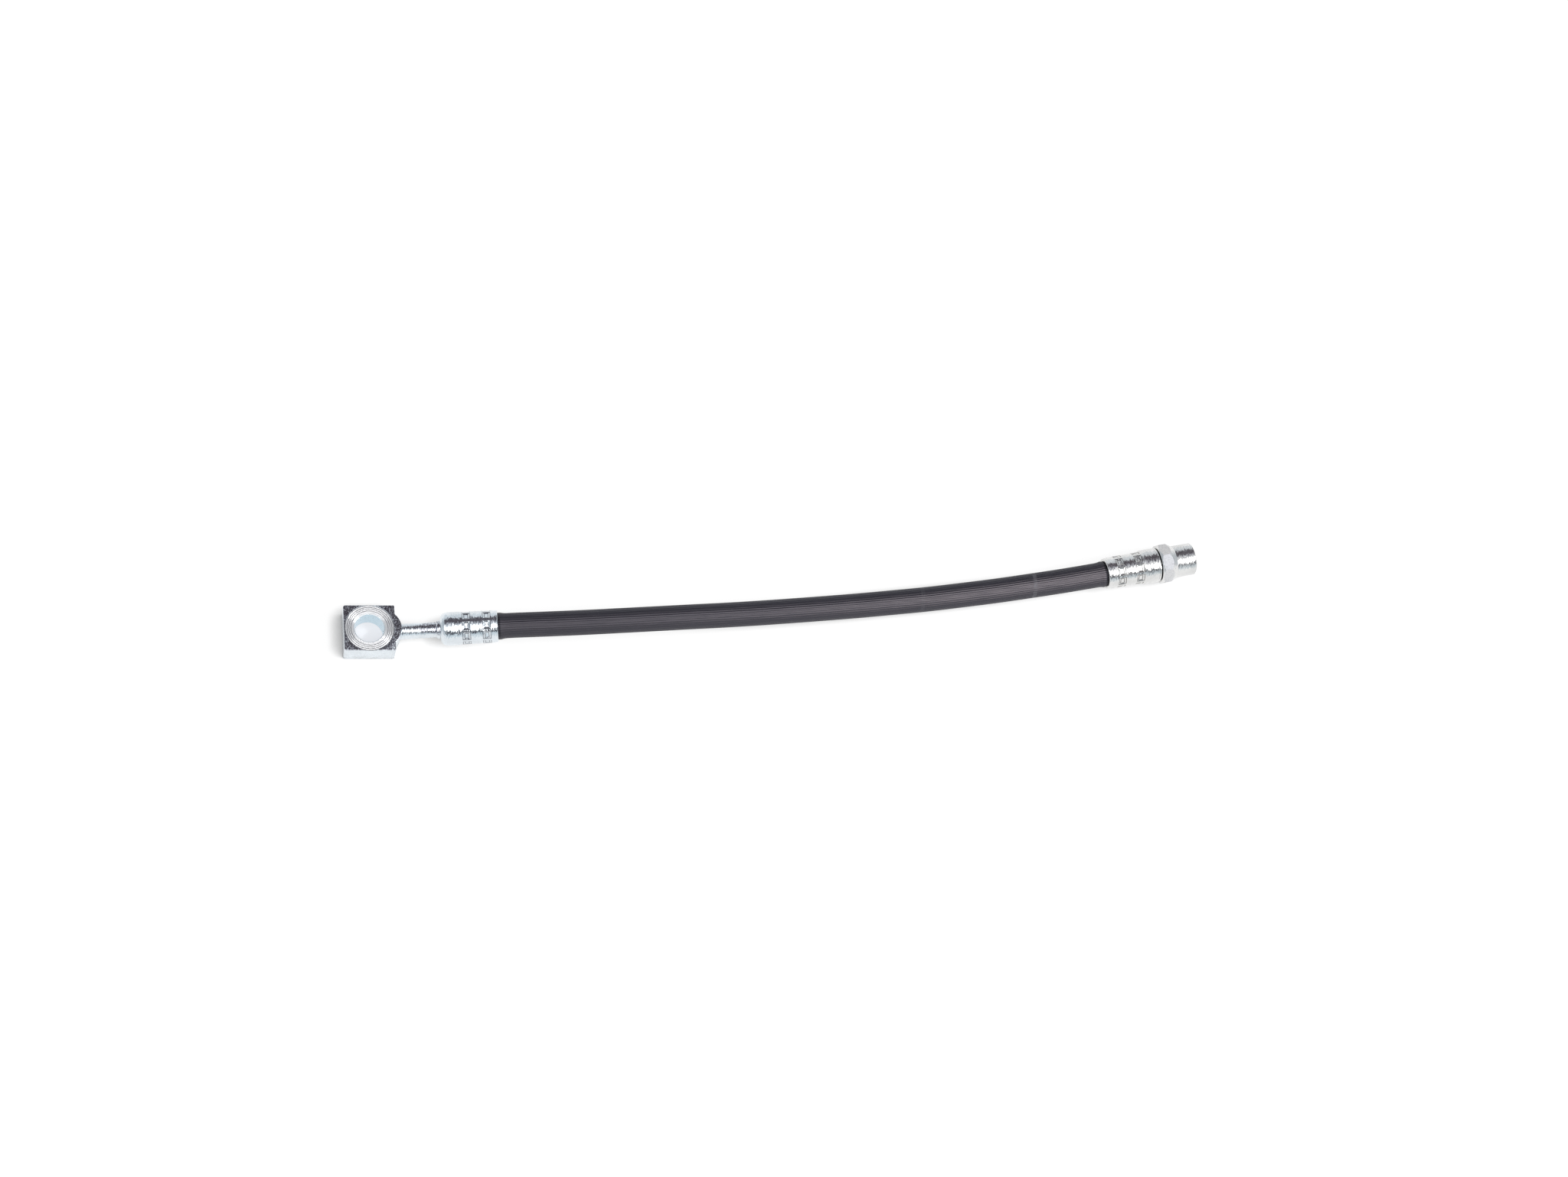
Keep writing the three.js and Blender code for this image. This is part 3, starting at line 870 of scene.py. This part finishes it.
class Graph:
    """A node tree, with short calls for the nodes used here."""

    def __init__(self, tree, coordinates):
        self.tree = tree
        self.place = self.node("ShaderNodeTexCoord").outputs[coordinates]

    def node(self, kind):
        return self.tree.nodes.new(kind)

    def link(self, out, socket):
        self.tree.links.new(out, socket)

    def put(self, socket, value):
        """Set a socket to a number, vector or colour, or link it to another node's output."""
        if isinstance(value, tuple):
            socket.default_value = (*value, 1) if socket.type == "RGBA" else value
        elif isinstance(value, (int, float)):
            socket.default_value = value
        elif value is not None:
            self.link(value, socket)

    def stretched(self, scale, origin=(0, 0, 0)):
        """Object coordinates counted from an origin and scaled along each axis."""
        node = self.node("ShaderNodeMapping")
        node.vector_type = "POINT"
        node.inputs["Scale"].default_value = scale
        node.inputs["Location"].default_value = [-o * s for o, s in zip(origin, scale)]
        self.link(self.place, node.inputs["Vector"])
        return node.outputs["Vector"]

    def from_point(self, point):
        return self.stretched((1, 1, 1), tuple(point))

    def split(self, vector=None):
        node = self.node("ShaderNodeSeparateXYZ")
        self.link(vector or self.place, node.inputs[0])
        return node.outputs

    def geometry(self, name):
        return self.node("ShaderNodeNewGeometry").outputs[name]

    def mark(self, name):
        node = self.node("ShaderNodeAttribute")
        node.attribute_name = name
        return node.outputs["Fac"]

    def noise(self, scale, detail=3, vector=None, roughness=0.55):
        node = self.node("ShaderNodeTexNoise")
        node.inputs["Scale"].default_value = scale
        node.inputs["Detail"].default_value = detail
        node.inputs["Roughness"].default_value = roughness
        self.link(vector or self.place, node.inputs["Vector"])
        return node.outputs["Fac"]

    def spots(self, scale):
        node = self.node("ShaderNodeTexVoronoi")
        node.inputs["Scale"].default_value = scale
        self.link(self.place, node.inputs["Vector"])
        return node.outputs["Distance"]

    def ramp(self, value, *stops):
        """A colour or grey level for the value, straight from each stop to the next."""
        node = self.node("ShaderNodeValToRGB")
        band = node.color_ramp
        while len(band.elements) < len(stops):
            band.elements.new(0.5)
        for element, (at, colour) in zip(band.elements, stops):
            element.position = at
            element.color = (*colour, 1) if isinstance(colour, tuple) else (colour,) * 3 + (1,)
        self.link(value, node.inputs["Fac"])
        return node.outputs["Color"]

    def math(self, operation, a, b=None):
        node = self.node("ShaderNodeMath")
        node.operation = operation
        for socket, value in zip(node.inputs, (a, b)):
            self.put(socket, value)
        return node.outputs["Value"]

    def product(self, first, *others):
        for other in others:
            first = self.math("MULTIPLY", first, other)
        return first

    def off(self, value, middle):
        """How far a value is from a middle one, either way."""
        return self.math("ABSOLUTE", self.math("SUBTRACT", value, middle))

    def length(self, x, y):
        """Length of the vector with two given parts."""
        return self.math("SQRT", self.math("ADD", self.product(x, x), self.product(y, y)))

    def waves(self, value, pitch):
        return self.math("SINE", self.product(value, 2 * math.pi / pitch))

    def mix(self, share, a, b):
        node = self.node("ShaderNodeMix")
        node.data_type = "RGBA"
        self.put(node.inputs[0], share)
        for socket, value in zip([s for s in node.inputs if s.type == "RGBA"], (a, b)):
            self.put(socket, value)
        return next(s for s in node.outputs if s.type == "RGBA")

    def vector_node(self, operation, a, b=None):
        node = self.node("ShaderNodeVectorMath")
        node.operation = operation
        for socket, value in zip(node.inputs, (a, b)):
            self.put(socket, value)
        return node

    def dot(self, vector, direction):
        return self.vector_node("DOT_PRODUCT", vector, tuple(direction)).outputs["Value"]

    def streaked_normal(self, axis):
        """The surface's normal, swung about an axis by streaks that lie round it."""
        normal = self.geometry("Normal")
        streaks = self.noise(1, 2, self.stretched(STREAK_STRETCH))
        swing = self.product(self.math("SUBTRACT", streaks, 0.5), STREAK_SWING)
        tangent = self.vector_node("CROSS_PRODUCT", normal, tuple(axis)).outputs["Vector"]
        shift = self.vector_node("SCALE", tangent)
        self.link(swing, shift.inputs["Scale"])
        swung = self.vector_node("ADD", normal, shift.outputs["Vector"]).outputs["Vector"]
        return self.vector_node("NORMALIZE", swung).outputs["Vector"]

    def bump(self, height, distance, strength=1.0, normal=None):
        """Relief that doesn't depend on the size of the picture."""
        node = self.node("ShaderNodeBump")
        node.inputs["Strength"].default_value = strength
        node.inputs["Distance"].default_value = distance
        node.inputs["Filter Width"].default_value = BUMP_FILTER
        self.link(height, node.inputs["Height"])
        self.put(node.inputs["Normal"], normal)
        return node.outputs["Normal"]


class Finish(Graph):
    """A new material, with calls for its shader."""

    def __init__(self, name):
        self.material = bpy.data.materials.new(name)
        self.material.use_nodes = True
        super().__init__(self.material.node_tree, "Object")
        self.shader = self.tree.nodes["Principled BSDF"]

    def set(self, name, value):
        self.shader.inputs[name].default_value = value

    def feed(self, name, out):
        self.link(out, self.shader.inputs[name])

    def set_metal(self, mask, share):
        """Metal all over, but less by the given share where the mask is one."""
        self.feed("Metallic", self.math("SUBTRACT", 1.0, self.product(mask, share)))


def grey(level):
    return (level,) * 3


def zinc_plate(n, tint, sheen, relief, axis):
    """Bright zinc: faint stains, and fine grain and streaks that break up reflections."""
    n.set("Metallic", 1.0)
    stained = tuple(c * STAIN_SHADE for c in tint)
    colour = n.ramp(n.noise(STAIN_SCALE, 4), (0.3, stained), (0.7, tint))
    roughness = n.ramp(n.noise(SHEEN_SCALE), (0.3, sheen), (0.7, sheen + SHEEN_SPREAD))
    grain = n.noise(GRAIN_SCALE, roughness=0.65)
    normal = n.bump(grain, relief, GRAIN_STRENGTH, n.streaked_normal(axis))
    return colour, roughness, normal


def banjo_steel_finish():
    """Speckled zinc with mottled, painted dark reflection on its outer faces, bright turned seats,
    and painted shade in the groove bottoms.
    """
    n = Finish("banjo_steel")
    colour, roughness, normal = zinc_plate(n, BANJO_TINT, BANJO_SHEEN, BANJO_RELIEF, NECK_AXIS)
    specks = n.ramp(n.noise(SPECK_SCALE, 2, roughness=0.7), (0.56, 0.0), (0.6, 1.0))
    roughness = n.mix(specks, roughness, grey(SPECK_ROUGHNESS))

    x, y, z = n.split(n.from_point(BORE))
    radius = n.length(x, y)
    off_middle = n.off(z, BLOCK_HEIGHT / 2)
    in_bore = n.math("LESS_THAN", radius, BORE_RADIUS + BORE_MARGIN)
    past_bore = n.math("GREATER_THAN", radius, BORE_RADIUS + BORE_MARGIN)
    past_chamfer = n.math("GREATER_THAN", radius, BORE_RADIUS + BORE_CHAMFER + FACE_MARGIN)
    in_seat = n.math("LESS_THAN", radius, BLOCK_WIDTH / 2 - EDGE_MARGIN)
    near_face = n.math("GREATER_THAN", off_middle, BLOCK_HEIGHT / 2 - SEAT_REACH)
    on_face = n.math("GREATER_THAN", off_middle, BLOCK_HEIGHT / 2 - FACE_MARGIN)
    groove_shade = SEAT_SINK + GROOVE_DEPTH * GROOVE_SHADE_START
    sunk = n.math("LESS_THAN", off_middle, BLOCK_HEIGHT / 2 - groove_shade)
    seat = n.product(in_seat, past_bore, near_face)

    # Painted dark reflection: darker patches on the top and bottom faces only
    painted_dark_patches = n.ramp(n.noise(MOTTLE_SCALE, roughness=0.65), (0.46, 0.9), (0.56, 0.0))
    colour = n.mix(n.product(on_face, painted_dark_patches), colour, FACE_PAINTED_DARK)
    face = n.ramp(n.noise(SEAT_SCALE), (0.3, SEAT_TINTS[0]), (0.7, SEAT_TINTS[1]))
    colour = n.mix(seat, colour, face)
    # Painted reflection: pale cyan colour on the bore's wall
    colour = n.mix(in_bore, colour, BORE_PAINTED_REFLECTION)
    # Painted shade: the seat grooves' bottoms coloured dark
    n.feed("Base Color", n.mix(n.product(sunk, past_chamfer, seat), colour, GROOVE_PAINTED_SHADE))
    n.feed("Roughness", n.mix(seat, roughness, grey(SEAT_ROUGHNESS)))
    n.set_metal(seat, SEAT_MATT)
    turning = n.product(n.waves(radius, TURNING_PITCH), seat)
    n.feed("Normal", n.bump(turning, TURNING_RELIEF, normal=normal))
    return n.material


def sleeve_finish(name, tint, sheen, axis, crease_shade):
    """Zinc plate, crumpled in the creases where the crimping tool bit, and darkened there with
    painted shade.
    """
    n = Finish(name)
    colour, roughness, normal = zinc_plate(n, tint, sheen, PLATE_RELIEF, axis)
    broken = n.ramp(n.noise(CREASE_SHADE_SCALE), (0.3, 0.45), (0.6, 1.0))
    # Painted shade: a dark colour in the dents' creases, broken up by noise
    shaded_crease = n.product(n.ramp(n.mark("crease"), (0.15, 0.0), (0.7, 0.85)), broken)
    n.feed("Base Color", n.mix(shaded_crease, colour, crease_shade))
    n.feed("Roughness", n.mix(shaded_crease, roughness, grey(CREASE_ROUGHNESS)))
    wrinkles = n.product(n.noise(WRINKLE_SCALE, 2, roughness=0.6), shaded_crease)
    n.feed("Normal", n.bump(wrinkles, WRINKLE_RELIEF, normal=normal))
    return n.material


def end_steel_finish():
    """Zinc plate, with the collar's flats left hatched by the cutter, and each flat painted
    lighter or darker by which way it faces.
    """
    n = Finish("end_steel")
    colour, roughness, normal = zinc_plate(n, END_TINT, END_SHEEN, PLATE_RELIEF, END_AXIS)
    facing = n.geometry("True Normal")
    along = n.dot(n.from_point(END_BODY_START), END_AXIS)
    half = (COLLAR_LENGTH + CONE_LENGTH) / 2
    square_on = n.math("LESS_THAN", n.math("ABSOLUTE", n.dot(facing, END_AXIS)), FLAT_LEAN)
    flats = n.product(square_on, n.math("LESS_THAN", n.off(along, half), half))
    strokes = n.product(n.waves(along, STROKE_PITCH), STROKE_SHARE)
    hatch = n.math("ADD", strokes, n.noise(HATCH_SCALE))
    # Painted light and shade: each flat lighter or darker by which way it faces
    forward = n.math("ADD", n.dot(facing, (0, -0.5, 0)), 0.5)
    flat_painted_shading = n.ramp(forward, (0.45, FLAT_UP_PAINTED_LIGHT), (0.7, FLAT_TILTED_PAINTED_SHADE), (0.95, FLAT_FRONT_PAINTED_LIGHT))
    painted_tone = n.mix(n.ramp(hatch, (0.2, 0.45), (0.75, 0.0)), flat_painted_shading, FLAT_WORN)
    n.feed("Base Color", n.mix(flats, colour, painted_tone))
    n.feed("Roughness", n.mix(flats, roughness, grey(FLAT_ROUGHNESS)))
    n.set_metal(flats, FLAT_MATT)
    n.feed("Normal", n.bump(n.product(hatch, flats), HATCH_RELIEF, 0.8, normal))
    return n.material


def cover_rubber():
    """Satin black rubber: painted light on its front, a painted highlight on the rib crests along
    its top that face the softbox, stronger towards the far end, painted shade at the ferrule
    mouths, dust and two faint scuff rings.
    """
    n = Finish("cover_rubber")
    streak = n.noise(1, 4, n.stretched(RUBBER_STRETCH))
    along = n.split(n.from_point(BORE))[0]
    normal = n.geometry("Normal")

    base = n.ramp(streak, (0.3, RUBBER_DARK), (0.75, RUBBER_PALE))
    # Painted light: lighter where the cover faces the front
    front = n.ramp(n.dot(normal, FRONT_WAY), (0.45, 0.0), (0.85, 0.5))
    base = n.mix(front, base, RUBBER_FRONT_PAINTED_LIGHT)

    # Painted highlight: lighter rib crests where the cover faces the softbox, stronger towards the
    # far end
    painted_tone = n.ramp(n.math("DIVIDE", along, HOSE_SPAN), (0.3, 0.3), (0.55, 0.5), (0.85, 1.0))
    facing_softbox = n.ramp(n.dot(normal, HIGHLIGHT_WAY), (0.86, 0.0), (0.98, 1.0))
    crest = n.ramp(n.mark("crest"), (0.3, 0.72), (0.9, 1.0))
    uneven = n.ramp(streak, (0.3, 0.55), (0.65, 1.0))
    base = n.mix(n.product(facing_softbox, painted_tone, crest, uneven), base, RUBBER_PAINTED_HIGHLIGHT)

    for place, strength in SCUFFS:
        beside = n.math("DIVIDE", n.off(along, place), SCUFF_WIDTH)
        ring = n.ramp(beside, (0.3, strength), (0.5, 0.0))
        rubbed = n.ramp(n.noise(SCUFF_SCALE), (0.35, 0.2), (0.65, 1.0))
        base = n.mix(n.product(ring, rubbed), base, SCUFF_TINT)
    # Painted shade: near black on the cover at each ferrule's mouth
    for mouth, axis in ((BANJO_MOUTH, NECK_AXIS), (END_MOUTH, END_AXIS)):
        beside = n.math("ABSOLUTE", n.dot(n.from_point(mouth), axis))
        lip = n.ramp(n.math("DIVIDE", beside, MOUTH_SHADE_WIDTH), (0.4, 0.9), (0.65, 0.0))
        base = n.mix(lip, base, RUBBER_MOUTH_SHADE)

    dust = n.ramp(n.spots(DUST_SCALE), (0.0, 1.0), (0.08, 0.0))
    sparse = n.ramp(n.noise(DUST_PATCH_SCALE, 2), (0.54, 0.0), (0.6, 1.0))
    n.feed("Base Color", n.mix(n.product(dust, sparse), base, DUST_TINT))
    n.set("Specular Tint", RUBBER_GLOSS_TINT)
    n.feed("Roughness", n.ramp(streak, (0.2, 0.36), (0.8, 0.5)))
    grain = n.noise(1, 3, n.stretched(RUBBER_GRAIN_STRETCH))
    n.feed("Normal", n.bump(grain, RUBBER_RELIEF, 0.5))
    return n.material


def inner_rubber():
    """Plain dull rubber of the liner and the cushion."""
    n = Finish("inner_rubber")
    n.feed("Base Color", n.ramp(n.noise(LINING_SCALE), (0.3, 0.012), (0.7, 0.028)))
    n.feed("Roughness", n.ramp(n.noise(LINING_GLOSS_SCALE, 2), (0.3, 0.5), (0.7, 0.75)))
    return n.material


def braid_fibre():
    """Pale woven fibre of the two braids."""
    n = Finish("braid_fibre")
    weave = n.node("ShaderNodeTexChecker")
    weave.inputs["Scale"].default_value = WEAVE_SCALE
    for name, tint in zip(("Color1", "Color2"), WEAVE_TINTS):
        n.put(weave.inputs[name], tint)
    n.link(n.place, weave.inputs["Vector"])
    n.feed("Base Color", weave.outputs["Color"])
    n.feed("Roughness", n.ramp(n.noise(FIBRE_SCALE, 2), (0.3, 0.75), (0.7, 0.95)))
    n.feed("Normal", n.bump(weave.outputs["Fac"], WEAVE_RELIEF, 0.6))
    return n.material


# Studio


def floor():
    """White paper to the camera and in reflections, with a soft shade beside the part, and a
    painted, blue-tinted light level on the floor seen through the bolt bore.
    """
    half = FLOOR_HALF
    verts = [(-half, -half, 0), (half, -half, 0), (half, half, 0), (-half, half, 0)]
    obj = new_object("floor", verts, [(0, 1, 2, 3)])
    n = Finish("floor_paper")
    rays = n.node("ShaderNodeLightPath").outputs
    seen = n.math("MAXIMUM", rays["Is Camera Ray"], rays["Is Glossy Ray"])
    seen = n.math("MAXIMUM", seen, rays["Is Transmission Ray"])

    x, y, _ = n.split()
    glow = n.ramp(n.length(x, y), (0.2, 0.8), (0.7, 1.0))
    lean = n.node("ShaderNodeCombineXYZ")
    for socket, value in zip(lean.inputs, SHADOW_WAY):
        socket.default_value = value
    shade = n.node("ShaderNodeAmbientOcclusion")
    shade.inputs["Distance"].default_value = SHADOW_REACH
    n.link(lean.outputs["Vector"], shade.inputs["Normal"])
    open_share = n.ramp(shade.outputs["AO"], (0.0, 0.0), (0.8, 1.0))
    glow = n.product(glow, n.math("POWER", open_share, SHADOW_POWER))

    # Painted light: a fixed, blue-tinted level on the floor seen through the bolt bore
    x, y, _ = n.split(n.from_point(BORE))
    in_bore = n.math("LESS_THAN", n.length(x, y), BORE_RADIUS + BORE_CHAMFER)
    glow = n.math("MAXIMUM", glow, n.product(in_bore, BORE_PAINTED_LEVEL))
    n.set("Base Color", FLOOR_TINT)
    n.set("Roughness", 1.0)
    n.set("Specular IOR Level", 0.0)
    n.feed("Emission Color", n.mix(in_bore, grey(1.0), BORE_PAINTED_TINT))
    n.feed("Emission Strength", n.product(seen, glow))
    obj.data.materials.append(n.material)


def world():
    """White to the camera, a plain grey level for light, and a studio's bands in reflections."""
    scene_world = bpy.data.worlds.new("studio")
    scene_world.use_nodes = True
    bpy.context.scene.world = scene_world
    n = Graph(scene_world.node_tree, "Generated")
    x, y, z = n.split()
    half_turns = n.math("DIVIDE", n.math("ARCTAN2", z, y), math.pi)
    bands = n.ramp(half_turns, *[(degrees / 180, colour) for degrees, colour in WORLD_BANDS])
    sideways = n.node("ShaderNodeMapRange")
    sideways.inputs["From Min"].default_value = SIDEWAYS_START
    sideways.inputs["From Max"].default_value = SIDEWAYS_FULL
    n.link(n.math("ABSOLUTE", x), sideways.inputs["Value"])
    reflected = n.mix(sideways.outputs["Result"], bands, SIDEWAYS_TINT)
    rays = n.node("ShaderNodeLightPath").outputs
    light = n.mix(rays["Is Glossy Ray"], PLAIN_LEVEL, reflected)
    shown = n.mix(rays["Is Camera Ray"], light, grey(1.0))
    n.link(shown, n.tree.nodes["Background"].inputs["Color"])


def area_light(name, width, depth, energy, direction, reach):
    """A soft rectangular light, the given way and distance from the middle of the hose."""
    lamp = bpy.data.lights.new(name, "AREA")
    lamp.shape = "RECTANGLE"
    lamp.size = width
    lamp.size_y = depth
    lamp.energy = energy
    obj = bpy.data.objects.new(name, lamp)
    bpy.context.scene.collection.objects.link(obj)
    away = Vector(direction).normalized()
    obj.location = away * reach
    obj.rotation_euler = away.to_track_quat("Z", "Y").to_euler()


def lights():
    """One long soft light over the hose, and a weaker one low down at its far end."""
    area_light("softbox", *SOFTBOX)
    area_light("side_light", *SIDE_LIGHT)


def camera():
    """The photograph's camera, placed from the foot of the bolt bore."""
    data = bpy.data.cameras.new("camera")
    data.sensor_width = SENSOR_WIDTH
    data.lens = SENSOR_WIDTH * PHOTO_FOCAL / PHOTO_WIDTH
    data.clip_start = CLIP_START
    data.clip_end = CLIP_END
    obj = bpy.data.objects.new("camera", data)
    bpy.context.scene.collection.objects.link(obj)
    view = CAMERA_VIEW.normalized()
    right = (CAMERA_RIGHT - view * CAMERA_RIGHT.dot(view)).normalized()
    up = right.cross(view)
    place = Matrix((right, up, -view)).transposed().to_4x4()
    place.translation = BORE + CAMERA_PLACE
    obj.matrix_world = place
    bpy.context.scene.camera = obj


def finished(obj, material, slot, *nodes):
    """A piece with its material, riding on the part and standing for its CAD nodes."""
    obj.data.materials.clear()
    obj.data.materials.append(material)
    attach(obj, "root")
    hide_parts(*nodes)
    return obj


def hose(rubber, lining, fibre):
    """The hose's five layers, along one route."""
    liner = HOSE_BORE + LINER_WALL
    first = liner + LAYER_GAP
    cushion = first + BRAID_WALL + LAYER_GAP
    second = cushion + CUSHION_WALL + LAYER_GAP
    cover = second + BRAID_WALL + LAYER_GAP
    layers = [
        ("liner_tube", HOSE_BORE, liner, lining, "inner_rubber", "hose_liner"),
        ("first_braid", first, first + BRAID_WALL, fibre, "braid", "hose_inner_braid"),
        ("cushion_tube", cushion, cushion + CUSHION_WALL, lining, "inner_rubber", "hose_cushion"),
        ("second_braid", second, second + BRAID_WALL, fibre, "braid", "hose_outer_braid"),
    ]
    for name, inside, outside, material, slot, node in layers:
        obj = tube(name, inside, outside, LAYER_SPACING, LAYER_SEGMENTS)
        finished(obj, material, slot, node)
    centres = hose_route(COVER_SPACING)
    obj = ribbed_tube("ribbed_cover", cover, HOSE_RADIUS, centres)
    finished(obj, rubber, "cover_rubber", "hose_cover")


def main():
    bpy.context.scene.view_settings.view_transform = "Standard"
    camera()
    hose(cover_rubber(), inner_rubber(), braid_fibre())
    floor()
    world()
    lights()
    finished(banjo_body(), banjo_steel_finish(), "banjo_steel", "banjo_fitting")
    place = along_x(BANJO_MOUTH, -NECK_AXIS, math.pi + BANJO_DENT_TURN)
    sleeve = ferrule("banjo_sleeve", banjo_outside(), BANJO_DENT_ROWS, place)
    banjo_sleeve_material = sleeve_finish("sleeve_steel", BANJO_TINT, BANJO_SHEEN, NECK_AXIS, BANJO_CREASE_SHADE)
    finished(sleeve, banjo_sleeve_material, "banjo_steel", "banjo_ferrule")
    place = along_x(END_MOUTH, END_AXIS, END_DENT_TURN)
    sleeve = ferrule("end_sleeve", end_outside(), END_DENT_ROWS, place)
    end_sleeve_material = sleeve_finish("end_sleeve_steel", END_TINT, END_SLEEVE_SHEEN, END_AXIS, END_CREASE_SHADE)
    finished(sleeve, end_sleeve_material, "end_steel", "end_ferrule")
    finished(end_body(), end_steel_finish(), "end_steel", "end_fitting")


main()
